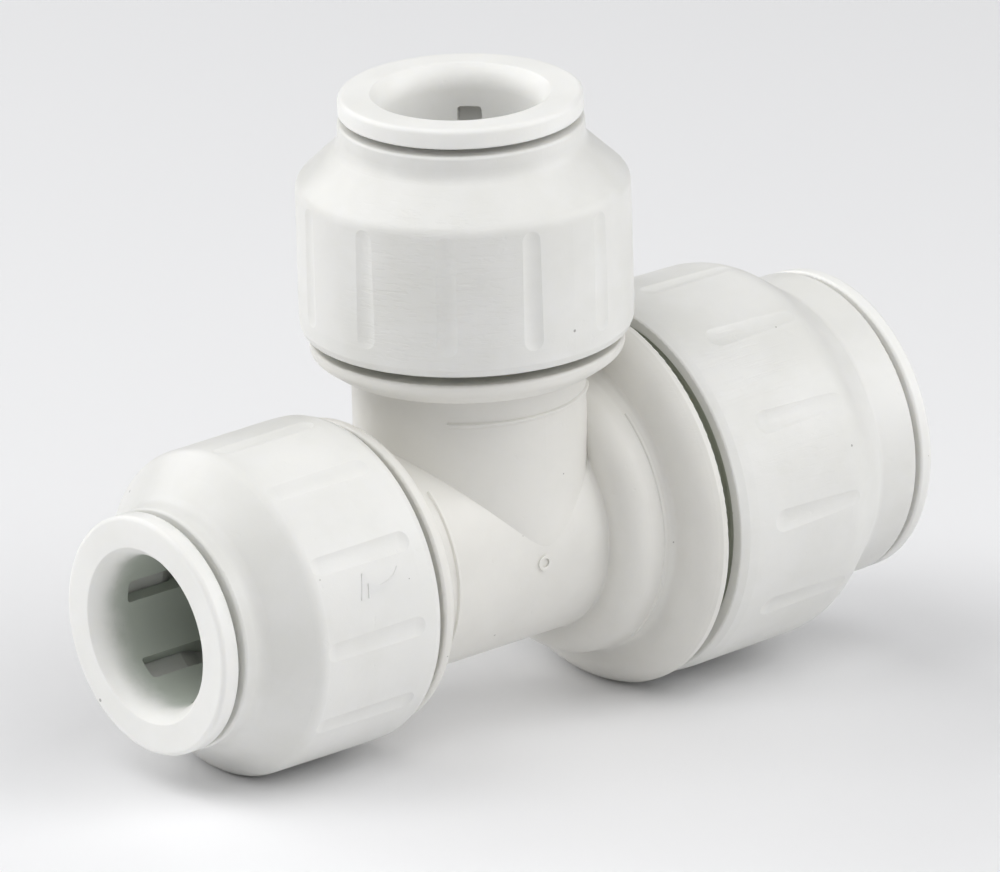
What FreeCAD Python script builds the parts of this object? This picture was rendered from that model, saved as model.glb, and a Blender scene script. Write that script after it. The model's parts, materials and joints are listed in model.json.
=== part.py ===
import FreeCAD, Part
import math
import os
from FreeCAD import Vector

# A push-fit reducing tee: a run with a 15 mm port and a 22 mm port, and a 15 mm branch between them.
# Every port holds the same pieces: a screw cap, a collet with grab teeth, a spacer ring and an O-ring.
# Millimetres. +X runs from the 15 mm end of the run to its 22 mm end, +Z runs up the branch.
# The origin is at the bottom centre of the whole fitting's box.

# ---------------------------------------------------------------- driving dimensions

RUN_SMALL_FACE = 41.6      # tee centre to the collet face of the 15 mm end of the run
RUN_LARGE_FACE = 46.9      # tee centre to the collet face of the 22 mm end of the run
BRANCH_FACE = 45.65        # tee centre to the collet face of the branch

RUN_RADIUS = 11.6          # outside of the run tube
BRANCH_RADIUS = 11.5       # outside of the branch tube
SMALL_WATERWAY = 6.5       # bore radius past the pipe stop of a 15 mm port
LARGE_WATERWAY = 9.0       # bore radius past the pipe stop of the 22 mm port
PIPE_FIT = 0.1             # gap around the pipe in its socket, twice that in the collet
FIT = 0.15                 # gap beside a piece that slides or turns
THREAD_FIT = 0.1           # gap between a cap's bore and the body's neck
END_GAP = 0.1              # gap before a stop
RING_GAP = 0.05            # gap around an O-ring in its chamber
TURN_GAP = 0.05            # extra gap around a collet's head
PRESS_SPARE = 0.3          # left behind a collet that is fully pressed
LOCK_SPARE = 0.2           # left before the spacer ring at full lock

EDGE = 0.3                 # ordinary rounding of a moulded edge
FINE_EDGE = 0.2

SLOT_WIDTH = 2.4           # collet finger slots
SLOT_CORNER = 0.4
TOOTH_WIDTH = 2.6
TOOTH_THICKNESS = 0.4
TOOTH_LENGTH = 2.7
TOOTH_LEAN = 25.0          # degrees, tip towards the inside of the fitting

RIB_HALF_ANGLE = 51.0      # the raised line behind each collar covers this angle each side of the front
RIB_WIDTH = 0.5
RIB_HEIGHT = 0.24
RIB_FOOT = 0.4             # how far the line's foot is set into the tube
RIBS = [(30.05, RUN_RADIUS), (30.45, BRANCH_RADIUS), (34.85, 14.9)]    # depth and radius, for each port
RING_MARK_RADIUS = 0.78    # raised ring on the front, where the tubes meet
RING_MARK_WALL = 0.3
RING_MARK_HEIGHT = 0.17
RING_MARK_X = -0.7

GROOVE_COUNT = 12
GROOVE_RADIUS = 2.9        # of the round cutter that makes a cap's finger grooves

CAP_CROWN = 2.2            # from a cap's widest line to its back edge
CAP_CROWN_ROUND = 3.0
CAP_LIP = 0.35             # how far the back bevel of a cap falls
RELIEF_DEPTH = 1.3         # widened bore at the back of a cap
RELIEF_RUNOUT = 0.5

FLANGE_THICKNESS = 1.0     # of a spacer ring
BORE_ENTRY = 0.6           # chamfer at the inner end of a collet and at a spacer ring's front
MOUTH_ROUND = 2.8          # lead-in of a collet's mouth
MOUTH_DEPTH = 1.2

UNDERCUT = 0.8             # neck of the body behind its thread
UNDERCUT_START = 1.6       # ahead of the cap's back edge
UNDERCUT_RUNOUT = 0.6
COLLAR_FLAT = 1.1          # full width of a small collar before it falls to the tube
COLLAR_FALL = 1.9
COLLAR_HEEL = 0.15
WATERWAY_CONE = 2.0        # half the length over which the run's waterway widens

# behind the 22 mm collar: depth from its back edge, radius, rounding
BELL = [(2.15, 18.5, 3.4), (2.8, 15.25, 0.6), (4.0, 14.95, 1.0), (8.05, 14.85, 2.9)]
BELL_END = 8.1


class PortSize:
    """The sizes of one port. Depths run inwards from the collet's face, radii from the port's axis."""

    def __init__(self, **sizes):
        self.__dict__.update(sizes)
        self.cap_back = self.collar_front - self.cap_gap
        self.socket_radius = self.pipe_radius + PIPE_FIT
        self.bore_radius = self.pipe_radius + 2 * PIPE_FIT
        self.cone_start = self.head_start - self.pull_travel
        self.head_radius = self.sleeve_radius + self.head_rise
        self.cap_cavity = self.head_radius + FIT + TURN_GAP
        self.cap_shoulder = self.collet_end + self.press_travel + PRESS_SPARE
        self.spacer_front = self.cap_shoulder + END_GAP
        self.spacer_step = self.spacer_front + FLANGE_THICKNESS
        self.spacer_end = self.spacer_step + self.spacer_nose
        self.body_front = self.spacer_step + self.advance + LOCK_SPARE
        self.cap_step = self.body_front - self.advance - END_GAP
        self.ring_centre = self.spacer_end + self.advance + END_GAP + self.ring_section
        self.ring_radius = self.ring_inner + self.ring_section
        self.chamber_end = self.ring_centre + self.ring_section + RING_GAP
        self.chamber_radius = self.ring_inner + 2 * self.ring_section + RING_GAP
        self.neck_radius = self.cap_bore - THREAD_FIT


SMALL = PortSize(
    pipe_radius=7.5, stop_depth=33.0, waterway=SMALL_WATERWAY,
    flange_radius=12.0, flange_thickness=2.0, flange_round=0.5, mouth_radius=8.85,
    sleeve_radius=9.2, head_start=10.35, head_length=2.6, head_rise=1.3, collet_end=14.85,
    slot_start=4.15, finger_count=6, tooth_depth=13.25, tooth_tip=7.4, press_travel=0.6, pull_travel=0.5,
    cap_front=2.75, cap_neck_radius=12.1, cap_neck_end=4.9, cap_neck_round=1.7,
    shoulder_depth=8.95, shoulder_radius=16.38, shoulder_round=1.5,
    cap_radius=16.42, cap_bore=14.0, cap_relief=14.6, cap_bevel=0.75, cap_gap=1.15,
    groove_start=9.35, groove_end=21.65, groove_floor=16.2,
    spacer_nose=2.2, spacer_radius=12.0, ring_inner=7.35, ring_section=1.3, advance=1.0,
    collar_front=25.0, collar_radius=15.45, collar_back=27.45)

LARGE = PortSize(
    pipe_radius=11.0, stop_depth=38.0, waterway=LARGE_WATERWAY,
    flange_radius=15.4, flange_thickness=1.5, flange_round=0.5, mouth_radius=12.25,
    sleeve_radius=12.75, head_start=11.7, head_length=3.0, head_rise=1.5, collet_end=17.0,
    slot_start=3.8, finger_count=8, tooth_depth=15.4, tooth_tip=10.9, press_travel=0.6, pull_travel=0.5,
    cap_front=2.2, cap_neck_radius=15.45, cap_neck_end=6.9, cap_neck_round=1.2,
    shoulder_depth=12.2, shoulder_radius=19.1, shoulder_round=6.0,
    cap_radius=19.35, cap_bore=17.2, cap_relief=17.75, cap_bevel=1.0, cap_gap=1.85,
    groove_start=11.8, groove_end=24.3, groove_floor=19.0,
    spacer_nose=2.6, spacer_radius=15.6, ring_inner=10.85, ring_section=1.5, advance=1.2,
    collar_front=30.4, collar_radius=19.4, collar_back=31.15)


class Port:
    """One port of the tee: where its face is, which way it points and how its pieces are turned."""

    def __init__(self, name, size, face, outward, front, groove_turn, slot_turn):
        self.name = name
        self.size = size
        self.face = face
        self.outward = outward
        self.front = front
        self.groove_turn = groove_turn
        self.slot_turn = slot_turn

    def place(self, shape):
        """Move a shape from the port's own frame, +Z inwards and +X to the front, into the tee."""
        inward = self.outward.negative()
        side = inward.cross(self.front)
        origin = self.outward * self.face
        matrix = FreeCAD.Matrix(
            self.front.x, side.x, inward.x, origin.x,
            self.front.y, side.y, inward.y, origin.y,
            self.front.z, side.z, inward.z, origin.z,
            0, 0, 0, 1)
        placed = shape.copy()
        placed.transformShape(matrix, True)
        return placed


FRONT = Vector(0, -1, 0)
PORTS = [
    Port("run_small", SMALL, RUN_SMALL_FACE, Vector(-1, 0, 0), FRONT, groove_turn=0, slot_turn=11),
    Port("branch", SMALL, BRANCH_FACE, Vector(0, 0, 1), FRONT, groove_turn=-13.5, slot_turn=46),
    Port("run_large", LARGE, RUN_LARGE_FACE, Vector(1, 0, 0), FRONT, groove_turn=0, slot_turn=10),
]

# the tee centre, seen from the bottom centre of the whole box
CENTRE = Vector((RUN_SMALL_FACE - RUN_LARGE_FACE) / 2, 0, LARGE.collar_radius)


# ---------------------------------------------------------------- shared shapes

def outline(corners, at):
    """A closed wire through corners (along, radius, rounding), each corner rounded by a tangent arc."""
    points = [Vector(at(c[0], c[1])) for c in corners]
    roundings = [c[2] if len(c) > 2 else 0.0 for c in corners]
    starts = []
    edges = []
    for i, corner in enumerate(points):
        before = (points[i - 1] - corner).normalize()
        after = (points[(i + 1) % len(points)] - corner).normalize()
        if roundings[i] == 0.0:
            starts.append((corner, None, corner))
            continue
        half = before.getAngle(after) / 2
        reach = roundings[i] / math.tan(half)
        middle = (before + after).normalize() * (roundings[i] / math.sin(half) - roundings[i])
        starts.append((corner + before * reach, corner + middle, corner + after * reach))
    for i, (enter, middle, leave) in enumerate(starts):
        if middle is not None:
            edges.append(Part.Arc(enter, middle, leave).toShape())
        following = starts[(i + 1) % len(starts)][0]
        if leave.distanceToPoint(following) > 1e-6:
            edges.append(Part.LineSegment(leave, following).toShape())
    return Part.Wire(edges)


def turned(corners):
    """A ring turned about Z from corners (depth, radius, rounding)."""
    face = Part.Face(outline(corners, lambda along, radius: (radius, 0, along)))
    return face.revolve(Vector(0, 0, 0), Vector(0, 0, 1), 360)


def turned_about_x(corners):
    """A ring turned about X from corners (x, radius, rounding)."""
    face = Part.Face(outline(corners, lambda along, radius: (along, 0, radius)))
    return face.revolve(Vector(0, 0, 0), Vector(1, 0, 0), 360)


def around_z(shape, angle):
    """A copy of a shape turned about Z by this many degrees."""
    turned_copy = shape.copy()
    turned_copy.rotate(Vector(0, 0, 0), Vector(0, 0, 1), angle)
    return turned_copy


# ---------------------------------------------------------------- screw cap

def groove(size):
    """A round-bottomed finger groove with scooped ends, as a solid to cut away."""
    centre = size.groove_floor + GROOVE_RADIUS
    scoop = math.sqrt(GROOVE_RADIUS ** 2 - (centre - size.cap_radius) ** 2)
    first = Vector(centre, 0, size.groove_start + scoop)
    last = Vector(centre, 0, size.groove_end - scoop)
    tool = Part.makeCylinder(GROOVE_RADIUS, last.z - first.z, first)
    for end in (first, last):
        tool = tool.fuse(Part.makeSphere(GROOVE_RADIUS, end))
    return tool


def cap(size, groove_turn):
    """The screw cap: a neck and shoulder outside, and inside the cone that closes the collet's fingers."""
    sleeve_hole = size.sleeve_radius + FIT
    spacer_seat = size.spacer_radius + FIT
    relief_end = size.cap_back - RELIEF_DEPTH
    shape = turned([
        (size.cap_front, sleeve_hole, EDGE),
        (size.cap_front, size.cap_neck_radius, EDGE),
        (size.cap_neck_end, size.cap_neck_radius, size.cap_neck_round),
        (size.shoulder_depth, size.shoulder_radius, size.shoulder_round),
        (size.cap_back - CAP_CROWN, size.cap_radius, CAP_CROWN_ROUND),
        (size.cap_back - size.cap_bevel, size.cap_radius - CAP_LIP / 6, EDGE),
        (size.cap_back, size.cap_radius - CAP_LIP, FINE_EDGE),
        (size.cap_back, size.cap_relief, FINE_EDGE),
        (relief_end, size.cap_relief),
        (relief_end - RELIEF_RUNOUT, size.cap_bore),
        (size.cap_step, size.cap_bore),
        (size.cap_step, spacer_seat),
        (size.cap_shoulder, spacer_seat),
        (size.cap_shoulder, size.cap_cavity),
        (size.cone_start + size.head_length + END_GAP, size.cap_cavity),
        (size.cone_start, sleeve_hole)])
    for i in range(GROOVE_COUNT):
        shape = shape.cut(around_z(groove(size), groove_turn + i * 360 / GROOVE_COUNT))
    return shape


# ---------------------------------------------------------------- collet and teeth

def finger_slot(size):
    """The gap between two collet fingers: rounded corners at its closed end, open at the inner end."""
    length = size.collet_end - size.slot_start + SLOT_WIDTH
    inside = size.bore_radius - SLOT_WIDTH
    reach = size.head_radius + SLOT_WIDTH - inside
    tool = Part.makeBox(reach, SLOT_WIDTH, length, Vector(inside, -SLOT_WIDTH / 2, size.slot_start))
    closed_end = [e for e in tool.Edges if abs(e.CenterOfMass.z - size.slot_start) < 1e-6
                  and abs(abs(e.CenterOfMass.y) - SLOT_WIDTH / 2) < 1e-6]
    return tool.makeFillet(SLOT_CORNER, closed_end)


def tooth(size):
    """A grab tooth: a small leaning plate set in the middle of a finger, its tip just inside the bore."""
    plate = Part.makeBox(TOOTH_LENGTH, TOOTH_WIDTH, TOOTH_THICKNESS,
                         Vector(0, -TOOTH_WIDTH / 2, -TOOTH_THICKNESS / 2))
    plate.rotate(Vector(0, 0, 0), Vector(0, 1, 0), TOOTH_LEAN)
    plate.translate(Vector(size.tooth_tip - plate.BoundBox.XMin, 0, size.tooth_depth))
    return plate


def teeth(size, slot_turn):
    """One grab tooth in the middle of every finger."""
    step = 360 / size.finger_count
    return [around_z(tooth(size), slot_turn + (i + 0.5) * step) for i in range(size.finger_count)]


def collet(size, slot_turn):
    """The collet: a flange to press on, a sleeve through the cap's neck, and sprung fingers with a head."""
    shape = turned([
        (0, size.mouth_radius, FINE_EDGE),
        (0, size.flange_radius, size.flange_round),
        (size.flange_thickness, size.flange_radius, EDGE),
        (size.flange_thickness, size.sleeve_radius, FINE_EDGE),
        (size.head_start, size.sleeve_radius),
        (size.head_start + size.head_length, size.head_radius, EDGE),
        (size.collet_end, size.head_radius, EDGE),
        (size.collet_end, size.bore_radius + BORE_ENTRY),
        (size.collet_end - BORE_ENTRY, size.bore_radius),
        (MOUTH_DEPTH, size.bore_radius, MOUTH_ROUND)])
    for i in range(size.finger_count):
        shape = shape.cut(around_z(finger_slot(size), slot_turn + i * 360 / size.finger_count))
    for plate in teeth(size, slot_turn):
        shape = shape.cut(plate)
    return shape


# ---------------------------------------------------------------- seal

def spacer(size):
    """The ring between collet and seal. Its flange is pushed by the cap, its nose slides in the body."""
    hole = size.bore_radius + PIPE_FIT
    nose_radius = size.chamber_radius - THREAD_FIT
    return turned([
        (size.spacer_front, hole + BORE_ENTRY),
        (size.spacer_front, size.spacer_radius, FINE_EDGE),
        (size.spacer_step, size.spacer_radius, FINE_EDGE),
        (size.spacer_step, nose_radius),
        (size.spacer_end, nose_radius, EDGE),
        (size.spacer_end, hole),
        (size.spacer_front + BORE_ENTRY, hole)])


def o_ring(size):
    """The seal, free in its chamber between the spacer ring's nose and the socket."""
    return Part.makeTorus(size.ring_radius, size.ring_section, Vector(0, 0, size.ring_centre))


# ---------------------------------------------------------------- tee body

def neck_and_collar(size):
    """Corners (depth, radius) of the body's outside, from the neck in the cap to the collar's front."""
    undercut = size.cap_back - UNDERCUT_START
    return [
        (size.body_front, 0),
        (size.body_front, size.neck_radius, EDGE),
        (undercut, size.neck_radius),
        (undercut + UNDERCUT_RUNOUT, size.neck_radius - UNDERCUT),
        (size.collar_front, size.neck_radius - UNDERCUT)]


def small_collar_and_tube(size, tube_radius):
    """A rounded collar that falls back to the plain tube."""
    return neck_and_collar(size) + [
        (size.collar_front, size.collar_radius, EDGE),
        (size.collar_front + COLLAR_FLAT, size.collar_radius, 1.0),
        (size.collar_back, size.collar_radius - COLLAR_FALL, 0.5),
        (size.collar_back + COLLAR_HEEL, tube_radius, 0.5)]


def bell(size):
    """The 22 mm port's collar with its rounded back, a groove, and a rounded shoulder down to the tube."""
    return neck_and_collar(size) + [
        (size.collar_front, size.collar_radius, FINE_EDGE),
        (size.collar_back, size.collar_radius, FINE_EDGE),
        *[(size.collar_back + depth, radius, rounding) for depth, radius, rounding in BELL],
        (size.collar_back + BELL_END, RUN_RADIUS, FINE_EDGE)]


def socket(size):
    """Corners (depth, radius) of a port's bore in the body, from its open end to past the pipe stop."""
    open_end = size.body_front - 1
    return [
        (open_end, 0),
        (open_end, size.chamber_radius),
        (size.chamber_end, size.chamber_radius, EDGE),
        (size.chamber_end, size.socket_radius, EDGE),
        (size.stop_depth, size.socket_radius),
        (size.stop_depth, size.waterway, EDGE)]


def along_run(corners, face, sign):
    """Depths from a run port's face, as x from the tee centre."""
    return [(sign * (face - c[0]),) + tuple(c[1:]) for c in corners]


def rib(depth, radius):
    """The fine raised line across the front, behind a collar, at this depth from the port's face."""
    half = RIB_WIDTH / 2
    face = Part.Face(outline([
        (depth - half, radius - RIB_FOOT),
        (depth - half, radius),
        (depth - half / 2, radius + RIB_HEIGHT, RIB_HEIGHT / 3),
        (depth + half / 2, radius + RIB_HEIGHT, RIB_HEIGHT / 3),
        (depth + half, radius),
        (depth + half, radius - RIB_FOOT)], lambda along, r: (r, 0, along)))
    line = face.revolve(Vector(0, 0, 0), Vector(0, 0, 1), 2 * RIB_HALF_ANGLE)
    return around_z(line, -RIB_HALF_ANGLE)


def ring_mark():
    """A small raised ring on the front of the body, where the tubes meet."""
    reach = RUN_RADIUS + RING_MARK_HEIGHT
    at = Vector(RING_MARK_X, 0, 0)
    ring = Part.makeCylinder(RING_MARK_RADIUS, reach, at, FRONT)
    ring = ring.cut(Part.makeCylinder(RING_MARK_RADIUS - RING_MARK_WALL, reach, at, FRONT))
    start = Vector(RING_MARK_X - 2 * RING_MARK_RADIUS, 0, 0)
    inside = Part.makeCylinder(RUN_RADIUS - RIB_FOOT, 4 * RING_MARK_RADIUS, start, Vector(1, 0, 0))
    return ring.cut(inside)


def tee_body():
    """Run and branch with their necks, collars and raised marks, bored from all three ends."""
    run_small, branch, run_large = PORTS
    run = turned_about_x(
        along_run(small_collar_and_tube(SMALL, RUN_RADIUS), run_small.face, -1)
        + along_run(bell(LARGE), run_large.face, 1)[::-1])
    branch_outside = branch.place(turned(small_collar_and_tube(SMALL, BRANCH_RADIUS) + [
        (branch.face, BRANCH_RADIUS),
        (branch.face, 0)]))
    shape = run.fuse(branch_outside)
    for port, (depth, radius) in zip(PORTS, RIBS):
        shape = shape.fuse(port.place(rib(depth, radius)))
    shape = shape.fuse(ring_mark())
    run_bore = turned_about_x(
        along_run(socket(SMALL), run_small.face, -1)
        + [(-WATERWAY_CONE, SMALL_WATERWAY), (WATERWAY_CONE, LARGE_WATERWAY)]
        + along_run(socket(LARGE), run_large.face, 1)[::-1])
    branch_bore = branch.place(turned(socket(SMALL) + [
        (branch.face, SMALL_WATERWAY),
        (branch.face, 0)]))
    shape = shape.cut(run_bore).cut(branch_bore)
    return shape.removeSplitter()


# ---------------------------------------------------------------- all pieces

def pieces():
    """Every piece's name and shape, about the tee centre."""
    yield "tee_body", tee_body()
    for port in PORTS:
        size = port.size
        yield port.name + "_cap", port.place(cap(size, port.groove_turn))
        yield port.name + "_collet", port.place(collet(size, port.slot_turn))
        yield port.name + "_spacer", port.place(spacer(size))
        yield port.name + "_o_ring", port.place(o_ring(size))
        for i, plate in enumerate(teeth(size, port.slot_turn)):
            yield f"{port.name}_tooth_{i + 1}", port.place(plate)


os.makedirs("parts", exist_ok=True)
for name, shape in pieces():
    solids = shape.Solids
    if len(solids) != 1 or not solids[0].isValid():
        raise RuntimeError(f"{name} has {len(solids)} solids")
    solid = solids[0]
    solid.translate(CENTRE)
    solid.exportStep(f"parts/{name}.step")
    print(name, round(solid.Volume, 1), solid.BoundBox)
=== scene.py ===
import json
import math
from collections import namedtuple

import bmesh
import bpy
from mathutils import Matrix, Vector


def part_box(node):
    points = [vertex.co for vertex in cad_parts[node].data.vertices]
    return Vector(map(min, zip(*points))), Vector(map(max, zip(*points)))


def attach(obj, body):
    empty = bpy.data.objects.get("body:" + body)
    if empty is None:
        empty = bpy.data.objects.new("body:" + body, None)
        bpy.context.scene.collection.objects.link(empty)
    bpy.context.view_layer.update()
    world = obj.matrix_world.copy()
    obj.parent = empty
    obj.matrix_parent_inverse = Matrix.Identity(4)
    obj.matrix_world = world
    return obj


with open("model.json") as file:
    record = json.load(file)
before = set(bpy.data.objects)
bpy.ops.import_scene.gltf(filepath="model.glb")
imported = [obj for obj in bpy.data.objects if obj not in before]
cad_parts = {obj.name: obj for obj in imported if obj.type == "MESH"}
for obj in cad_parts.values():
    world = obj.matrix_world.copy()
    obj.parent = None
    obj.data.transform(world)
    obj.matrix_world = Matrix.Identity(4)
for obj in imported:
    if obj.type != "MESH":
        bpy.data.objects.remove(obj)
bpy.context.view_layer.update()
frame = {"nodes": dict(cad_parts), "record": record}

# Lengths are metres, as in Blender, unless a comment says otherwise.
MM = 0.001

# ---------------------------------------------------------------- places, from the frame

SMALL_LOW, SMALL_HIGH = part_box("run_small_cap")
BRANCH_LOW, BRANCH_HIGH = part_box("branch_cap")
LARGE_LOW, LARGE_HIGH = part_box("run_large_cap")
SMALL_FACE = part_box("run_small_collet")[0].x
TEE_CENTRE = Vector((
    (BRANCH_LOW.x + BRANCH_HIGH.x) / 2,
    0,
    (LARGE_LOW.z + LARGE_HIGH.z) / 2))


# ---------------------------------------------------------------- camera

CAMERA_AZIMUTH = math.radians(-39.85)
CAMERA_ELEVATION = math.radians(19.96)
CAMERA_ROLL = math.radians(-1.64)
CAMERA_DISTANCE = 1.453
CAMERA_LENS = 532.4  # in mm, as Blender gives focal lengths
CAMERA_FAR_END = 20
AIM_RIGHT = 0.00264  # from the tee's centre to the middle of the picture
AIM_UP = 0.00936


def direction(azimuth, elevation):
    """Unit vector from the part towards a place in the room, from angles in radians."""
    return Vector((
        math.sin(azimuth) * math.cos(elevation),
        -math.cos(azimuth) * math.cos(elevation),
        math.sin(elevation)))


def camera_axes():
    """Right, up and back of the camera, as unit vectors in the row frame."""
    back = direction(CAMERA_AZIMUTH, CAMERA_ELEVATION)
    level = Vector((0, 0, 1)).cross(back).normalized()
    upright = back.cross(level)
    right = level * math.cos(CAMERA_ROLL) + upright * math.sin(CAMERA_ROLL)
    up = upright * math.cos(CAMERA_ROLL) - level * math.sin(CAMERA_ROLL)
    return right, up, back


def make_camera():
    right, up, back = camera_axes()
    aim = TEE_CENTRE + right * AIM_RIGHT + up * AIM_UP
    data = bpy.data.cameras.new("camera")
    data.lens = CAMERA_LENS
    data.clip_end = CAMERA_FAR_END
    camera = bpy.data.objects.new("camera", data)
    rotation = Matrix((right, up, back)).transposed().to_4x4()
    camera.matrix_world = Matrix.Translation(aim + back * CAMERA_DISTANCE) @ rotation
    bpy.context.scene.collection.objects.link(camera)
    bpy.context.scene.camera = camera


# ---------------------------------------------------------------- floor and light

FLOOR_SIZE = 6
FLOOR_COLOUR = (0.87, 0.87, 0.88, 1)
FLOOR_ROUGHNESS = 0.6
SETTLING_PASSES = 8

WORLD_COLOUR = (0.96, 0.98, 1.0, 1)
WORLD_STRENGTH = 0.08
LIGHT_DISTANCE = 1.0
LIGHT_DIAMETER = 0.75

# name: degrees to the right of the camera, degrees above the level, watts
LIGHTS = {
    "left": (-90, 25, 2.7),
    "front": (0, 50, 1.6),
    "front_right": (50, 30, 1.05),
    "right": (90, 25, 3.9),
    "high_left": (-70, 60, 3.3),
    "high_right": (70, 60, 2.4),
    "back_left": (-130, 35, 3.2),
}


def resting_line():
    """A point (x, z) and the angle of the line that carries both ends of the fitting."""
    points = []
    for node in ("run_small_cap", "tee_body", "run_large_cap"):
        points += [(v.co.x, v.co.z) for v in frame["nodes"][node].data.vertices]
    left = [p for p in points if p[0] < TEE_CENTRE.x]
    right = [p for p in points if p[0] > TEE_CENTRE.x]
    slope = 0.0
    for _ in range(SETTLING_PASSES):
        a = min(left, key=lambda p: p[1] - slope * p[0])
        b = min(right, key=lambda p: p[1] - slope * p[0])
        slope = (b[1] - a[1]) / (b[0] - a[0])
    return a, math.atan(slope)


def make_floor():
    (x, z), tilt = resting_line()
    bpy.ops.mesh.primitive_plane_add(size=FLOOR_SIZE)
    floor = bpy.context.object
    floor.name = "floor"
    floor.matrix_world = Matrix.Translation((x, 0, z)) @ Matrix.Rotation(-tilt, 4, "Y")
    material = bpy.data.materials.new("floor")
    material.use_nodes = True
    shader = material.node_tree.nodes["Principled BSDF"]
    shader.inputs["Base Color"].default_value = FLOOR_COLOUR
    shader.inputs["Roughness"].default_value = FLOOR_ROUGHNESS
    floor.data.materials.append(material)


def area_light(name, turn, elevation, power):
    """A round lamp that faces the tee, turned in plan from the camera's own direction."""
    data = bpy.data.lights.new(name, "AREA")
    data.shape = "DISK"
    data.size = LIGHT_DIAMETER
    data.energy = power
    light = bpy.data.objects.new(name, data)
    towards = direction(CAMERA_AZIMUTH + math.radians(turn), math.radians(elevation))
    place = Matrix.Translation(TEE_CENTRE + towards * LIGHT_DISTANCE)
    light.matrix_world = place @ towards.to_track_quat("Z", "Y").to_matrix().to_4x4()
    bpy.context.scene.collection.objects.link(light)


def make_light():
    world = bpy.data.worlds.new("studio")
    world.use_nodes = True
    background = world.node_tree.nodes["Background"]
    background.inputs["Color"].default_value = WORLD_COLOUR
    background.inputs["Strength"].default_value = WORLD_STRENGTH
    bpy.context.scene.world = world
    for name, (turn, elevation, power) in LIGHTS.items():
        area_light(name, turn, elevation, power)
    bpy.context.scene.view_settings.view_transform = "Standard"


# ---------------------------------------------------------------- node trees

SPOT_CORE = 0.3  # share of a spot's radius within which it is full


class Recipe:
    """One material's node tree, built with short calls.

    Patterns lie in the part's own coordinates, so their sizes are lengths on the part.
    """

    def __init__(self, name):
        self.material = bpy.data.materials.new(name)
        self.material.use_nodes = True
        self.tree = self.material.node_tree
        self.shader = self.tree.nodes["Principled BSDF"]
        self.place = self.node("ShaderNodeTexCoord").outputs["Object"]

    def put(self, socket, value):
        """Link a socket to another, or set it to a constant."""
        if isinstance(value, bpy.types.NodeSocket):
            self.tree.links.new(value, socket)
        else:
            socket.default_value = value

    def set(self, name, value):
        """An input of the material's shader."""
        self.put(self.shader.inputs[name], value)

    def node(self, kind, inputs=None, **settings):
        made = self.tree.nodes.new(kind)
        for key, value in settings.items():
            setattr(made, key, value)
        for key, value in (inputs or {}).items():
            self.put(made.inputs[key], value)
        return made

    def noise(self, size, detail=3.0, roughness=0.55, stretch=(1, 1, 1), turn=(0, 0, 0)):
        """Noise around 0.5 with features of this size, longer along an axis with a small stretch."""
        mapping = self.node("ShaderNodeMapping", {
            "Vector": self.place, "Scale": stretch, "Rotation": turn})
        made = self.node("ShaderNodeTexNoise", {
            "Vector": mapping.outputs[0], "Scale": 1 / size, "Detail": detail, "Roughness": roughness})
        return made.outputs[0]

    def ranged(self, value, low, high, new_low=0.0, new_high=1.0, smooth=True):
        """The value's range from low to high, spread over a new range and held at its ends."""
        made = self.node("ShaderNodeMapRange", {
            "Value": value, "From Min": low, "From Max": high, "To Min": new_low, "To Max": new_high})
        made.interpolation_type = "SMOOTHSTEP" if smooth else "LINEAR"
        return made.outputs[0]

    def maths(self, operation, first, second):
        return self.node("ShaderNodeMath", {0: first, 1: second}, operation=operation).outputs[0]

    def vector(self, operation, first, second):
        return self.node("ShaderNodeVectorMath", {0: first, 1: second}, operation=operation).outputs

    def mixed(self, factor, first, second):
        """Two colours mixed. A mix node's colours are its sockets 6 and 7, and its result socket 2."""
        return self.node("ShaderNodeMix", {0: factor, 6: first, 7: second}, data_type="RGBA").outputs[2]

    def spot(self, centre, radius):
        """1 near a point of the part, falling softly to 0 at this distance from it."""
        away = self.vector("DISTANCE", self.place, centre)["Value"]
        return self.ranged(away, radius, radius * SPOT_CORE)

    def from_axis(self, axis):
        """Distance from the axis of the run ("X") or of the branch ("Z")."""
        across = {"X": (0, 1, 1), "Z": (1, 1, 0)}[axis]
        away = self.vector("SUBTRACT", self.place, TEE_CENTRE)[0]
        flat = self.vector("MULTIPLY", away, across)[0]
        return self.vector("LENGTH", flat, (0, 0, 0))["Value"]

    def bumped(self, height, depth, under=None):
        """The surface's normal with this relief, over the relief under it."""
        made = self.node("ShaderNodeBump", {"Height": height, "Distance": depth, "Strength": 1.0})
        if under is not None:
            self.put(made.inputs["Normal"], under)
        return made.outputs[0]


# ---------------------------------------------------------------- white acetal

CLEAN = (0.815, 0.812, 0.79, 1)
WORN = (0.775, 0.772, 0.742, 1)
FRESH = (0.90, 0.897, 0.875, 1)
FRESH_WORN = (0.87, 0.867, 0.84, 1)
CREAM = (0.80, 0.788, 0.75, 1)
CREAM_WORN = (0.765, 0.753, 0.715, 1)
# painted shade: greenish grey that darkens the small collet's bore deeper in
BORE_SHADE_COLOUR = (0.56, 0.60, 0.54, 1)
# painted shade: greenish grey that darkens the gaps between the caps and the body's collars
GAP_SHADE_COLOUR = (0.43, 0.455, 0.375, 1)
DUST = (0.16, 0.15, 0.13, 1)

# sizes of the patterns on the skin
MOTTLE = 9 * MM
SHADE_EDGE = 3 * MM
RUB_LINE = 0.55 * MM
HANDLING_LINE = 1.1 * MM
SPECK_SPACING = 2.6 * MM
SHEEN = 4 * MM
WAVE = 2.6 * MM
GRAIN = 0.16 * MM

# depths of its relief
WAVE_DEPTH = 0.02 * MM
GRAIN_DEPTH = 0.006 * MM
SCRATCH_DEPTH = 0.022 * MM

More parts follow.
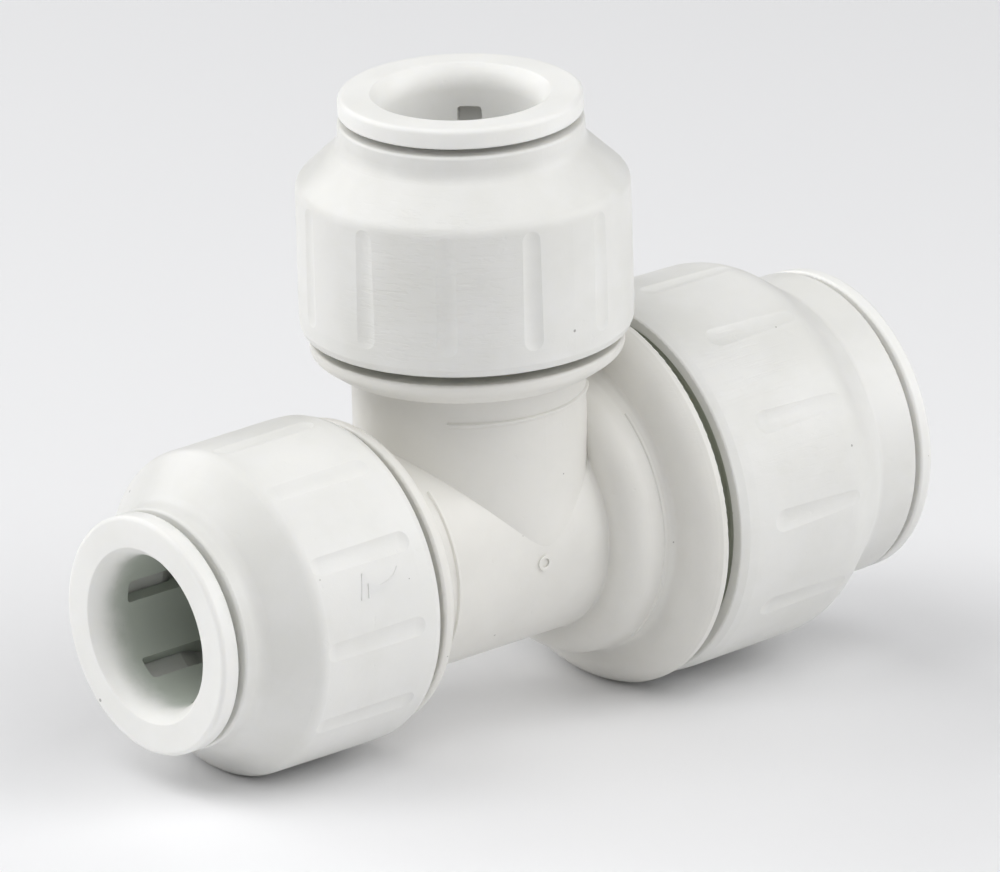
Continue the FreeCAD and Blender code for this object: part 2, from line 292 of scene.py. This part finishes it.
SHADE_RAGGED = 0.25     # how far the edge of a band of painted shade wanders, as a share of its width
SCRATCH_DULLING = 0.18
SPECK_STRENGTH = 0.6
SPECK_SHARE = 0.28     # share of the cells that hold a speck
SPECK_RADIUS = 0.075   # of the largest speck, as a share of the spacing
SCATTER_DEPTH = 1.2 * MM

# a rubbed patch: its centre from the tee's centre, its radius, and its scratches' stretch and strength
Scuff = namedtuple("Scuff", "centre radius stretch strength")
SCUFFS = (
    Scuff(Vector((-0.0130, -0.0100, 0.0300)), 0.013, (0.25, 0.25, 1.4), 1.0),
    Scuff(Vector((0.0235, -0.013, 0.0135)), 0.013, (0.12, 1, 2.2), 0.4),
    Scuff(Vector((0.027, -0.018, 0.004)), 0.010, (0.2, 2.2, 1), 0.35),
)

# painted shade laid between two places on an axis, at more than the inner distance from that axis
ShadeBand = namedtuple("ShadeBand", "axis start full inner stain")
# painted shade inside the small collet's bore, growing darker with depth from its face
BORE_SHADE_BAND = ShadeBand("X", SMALL_FACE + 0.9 * MM, SMALL_FACE + 4.4 * MM, 0.0, BORE_SHADE_COLOUR)
# painted shade in the gap between each cap and the body's collar, on the body outside its neck
NECK_GAP_SHADE_BANDS = (
    ShadeBand("X", SMALL_HIGH.x + 1.0 * MM, SMALL_HIGH.x + 0.6 * MM, 12.0 * MM, GAP_SHADE_COLOUR),
    ShadeBand("X", LARGE_LOW.x - 1.6 * MM, LARGE_LOW.x - 1.2 * MM, 15.5 * MM, GAP_SHADE_COLOUR),
    ShadeBand("Z", BRANCH_LOW.z - 1.0 * MM, BRANCH_LOW.z - 0.6 * MM, 12.0 * MM, GAP_SHADE_COLOUR),
)


def with_painted_shade(recipe, colour, shade_bands):
    """The colour with each band of painted shade laid over it, with a ragged edge."""
    along = recipe.node("ShaderNodeSeparateXYZ", {0: recipe.place}).outputs
    uneven = recipe.ranged(recipe.noise(SHADE_EDGE, 4.0), 0.3, 0.7, -0.5, 0.5)
    for shade_band in shade_bands:
        wander = recipe.maths("MULTIPLY", uneven, (shade_band.full - shade_band.start) * SHADE_RAGGED)
        depth = recipe.ranged(recipe.maths("ADD", along[shade_band.axis], wander), shade_band.start, shade_band.full)
        outside = recipe.maths("GREATER_THAN", recipe.from_axis(shade_band.axis), shade_band.inner)
        colour = recipe.mixed(recipe.maths("MULTIPLY", depth, outside), colour, shade_band.stain)
    return colour


def scratched(recipe):
    """0 on the smooth skin, up to 1 in a scratch: the rubbed patches, and fine marks of handling."""
    scratches = 0.0
    for scuff in SCUFFS:
        lines = recipe.noise(RUB_LINE, 2.0, 0.5, scuff.stretch)
        lines = recipe.ranged(lines, 0.52, 0.60, 0.0, scuff.strength)
        patch = recipe.maths("MULTIPLY", lines, recipe.spot(TEE_CENTRE + scuff.centre, scuff.radius))
        scratches = recipe.maths("MAXIMUM", patch, scratches)
    handling = recipe.noise(HANDLING_LINE, 2.0, 0.5, (1, 0.07, 1), (0.5, 0.3, 1.1))
    return recipe.maths("MAXIMUM", scratches, recipe.ranged(handling, 0.70, 0.76, 0.0, 0.5))


def specked(recipe, colour):
    """The colour with a speck of dust in some cells of a Voronoi pattern."""
    cells = recipe.node("ShaderNodeTexVoronoi", {"Vector": recipe.place, "Scale": 1 / SPECK_SPACING})
    chosen = recipe.node("ShaderNodeSeparateColor", {"Color": cells.outputs["Color"]}).outputs[0]
    radius = recipe.ranged(chosen, 1 - SPECK_SHARE, 1.0, 0.0, SPECK_RADIUS, smooth=False)
    speck = recipe.maths("LESS_THAN", cells.outputs["Distance"], radius)
    return recipe.mixed(recipe.maths("MULTIPLY", speck, SPECK_STRENGTH), colour, DUST)


def acetal(name, clean, worn, shade_bands=()):
    """Moulded white acetal: satin skin, faint mottling, bands of painted shade, rubbed patches and
    specks.
    """
    recipe = Recipe(name)
    mottle = recipe.ranged(recipe.noise(MOTTLE, 5.0), 0.35, 0.68)
    colour = recipe.mixed(mottle, clean, worn)
    # painted shade: the given bands darken the colour where shade falls
    colour = with_painted_shade(recipe, colour, shade_bands)
    scratches = scratched(recipe)
    recipe.set("Base Color", specked(recipe, colour))

    normal = recipe.bumped(recipe.noise(WAVE, 2.0), WAVE_DEPTH)
    normal = recipe.bumped(recipe.noise(GRAIN, 2.0), GRAIN_DEPTH, normal)
    normal = recipe.bumped(recipe.maths("MULTIPLY", scratches, -1.0), SCRATCH_DEPTH, normal)
    recipe.set("Normal", normal)

    sheen = recipe.ranged(recipe.noise(SHEEN, 4.0), 0.3, 0.7, 0.34, 0.46)
    dulling = recipe.maths("MULTIPLY", scratches, SCRATCH_DULLING)
    recipe.set("Roughness", recipe.maths("ADD", sheen, dulling))
    recipe.set("IOR", 1.48)
    recipe.set("Specular IOR Level", 0.42)
    recipe.set("Subsurface Weight", 0.20)
    recipe.set("Subsurface Radius", (1.0, 0.95, 0.8))
    recipe.set("Subsurface Scale", SCATTER_DEPTH)
    return recipe.material


# ---------------------------------------------------------------- steel and rubber

STEEL = (0.60, 0.61, 0.62, 1)
STEEL_STAINED = (0.46, 0.47, 0.46, 1)
ROLLING_LINE = 0.12 * MM
ROLLING_DEPTH = 0.004 * MM
STEEL_STAIN = 1.5 * MM

BLACK = (0.018, 0.018, 0.019, 1)
BLACK_WORN = (0.035, 0.035, 0.034, 1)
RUBBER_GRAIN = 0.22 * MM
RUBBER_GRAIN_DEPTH = 0.008 * MM
RUBBER_GREASE = 2.2 * MM


def stainless():
    """Stamped stainless strip with fine rolling lines and faint stains."""
    recipe = Recipe("stainless_steel")
    lines = recipe.noise(ROLLING_LINE, 3.0, 0.6, (1, 1, 0.08))
    stain = recipe.ranged(recipe.noise(STEEL_STAIN, 3.0), 0.35, 0.7)
    recipe.set("Base Color", recipe.mixed(stain, STEEL, STEEL_STAINED))
    recipe.set("Metallic", 1.0)
    recipe.set("Roughness", recipe.ranged(lines, 0.3, 0.7, 0.24, 0.42))
    recipe.set("Normal", recipe.bumped(lines, ROLLING_DEPTH))
    return recipe.material


def rubber():
    """Black moulded rubber with a trace of grease."""
    recipe = Recipe("epdm_rubber")
    grain = recipe.noise(RUBBER_GRAIN, 3.0)
    grease = recipe.noise(RUBBER_GREASE, 3.0)
    recipe.set("Base Color", recipe.mixed(recipe.ranged(grain, 0.3, 0.7), BLACK, BLACK_WORN))
    recipe.set("Roughness", recipe.ranged(grease, 0.4, 0.6, 0.3, 0.62))
    recipe.set("Normal", recipe.bumped(grain, RUBBER_GRAIN_DEPTH))
    return recipe.material


# ---------------------------------------------------------------- which piece has which finish

def make_finishes():
    """Finishes by the name of a CAD node or of a material slot."""
    fresh = acetal("fresh_acetal", FRESH, FRESH_WORN)
    return {
        "white_acetal": acetal("white_acetal", CLEAN, WORN),
        "branch_collet": fresh,
        "run_large_collet": fresh,
        # the small collet, with painted shade in its bore
        "run_small_collet": acetal("bore_shaded_acetal", FRESH, FRESH_WORN, [BORE_SHADE_BAND]),
        # the body, with painted shade in the gaps at the caps
        "tee_body": acetal("body_acetal", CREAM, CREAM_WORN, NECK_GAP_SHADE_BANDS),
        "stainless_steel": stainless(),
        "epdm_rubber": rubber(),
    }


def finish_nodes(finishes):
    """Each CAD node gets the finish of its own name, or else the finish of its material slot."""
    slots = {part["node"]: part["material_slot"] for part in frame["record"]["subparts"]}
    for name, node in frame["nodes"].items():
        node.data.materials.clear()
        node.data.materials.append(finishes.get(name) or finishes[slots[name]])


# ---------------------------------------------------------------- the mark on the small cap

# The low and high edge of each raised shape, as points (mm from the cap's front, degrees above the
# cap's foremost line).
STOP_BAR = (
    ((11.46, 14.9), (12.23, 23.6)),
    ((11.90, 14.9), (12.67, 23.6)))
ARROW = (
    ((12.38, 14.9), (13.12, 16.4), (13.81, 16.5), (15.09, 17.4), (15.95, 19.0), (16.56, 22.3)),
    ((12.66, 19.8), (13.34, 19.0), (13.93, 18.0), (15.22, 18.9), (15.85, 20.0), (16.50, 22.6)))

# radii in mm: the foot is sunk in the cap, the top stands just off its side
MARK_FOOT = 16.25
MARK_TOP = 16.49


def on_small_cap(along, angle, radius):
    """A point of the row frame, from mm along the small cap, degrees around it and a radius in mm."""
    turn = math.radians(angle)
    return Vector((
        SMALL_LOW.x + along * MM,
        -radius * MM * math.cos(turn),
        TEE_CENTRE.z + radius * MM * math.sin(turn)))


def raised_mark(name, edges, finish):
    """A thin raised shape that follows the cap's round side, from foot to top.

    Each pair of edge points makes a ring of four: low foot, high foot, low top, high top.
    """
    points = []
    for low, high in zip(*edges):
        for radius in (MARK_FOOT, MARK_TOP):
            points.append(on_small_cap(*low, radius))
            points.append(on_small_cap(*high, radius))
    last = len(points) - 4
    faces = [(0, 1, 3, 2), (last, last + 2, last + 3, last + 1)]
    for i in range(0, last, 4):
        for a, b in ((2, 3), (0, 2), (1, 3), (0, 1)):
            faces.append((i + a, i + b, i + 4 + b, i + 4 + a))
    mesh = bpy.data.meshes.new(name)
    mesh.from_pydata(points, [], faces)
    shell = bmesh.new()
    shell.from_mesh(mesh)
    bmesh.ops.recalc_face_normals(shell, faces=shell.faces)
    shell.to_mesh(mesh)
    shell.free()
    mesh.materials.append(finish)
    mark = bpy.data.objects.new(name, mesh)
    bpy.context.scene.collection.objects.link(mark)
    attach(mark, "run_small_cap")


# ---------------------------------------------------------------- the scene

make_camera()
make_floor()
make_light()
finishes = make_finishes()
finish_nodes(finishes)
raised_mark("lock_stop_bar", STOP_BAR, finishes["white_acetal"])
raised_mark("lock_arrow", ARROW, finishes["white_acetal"])
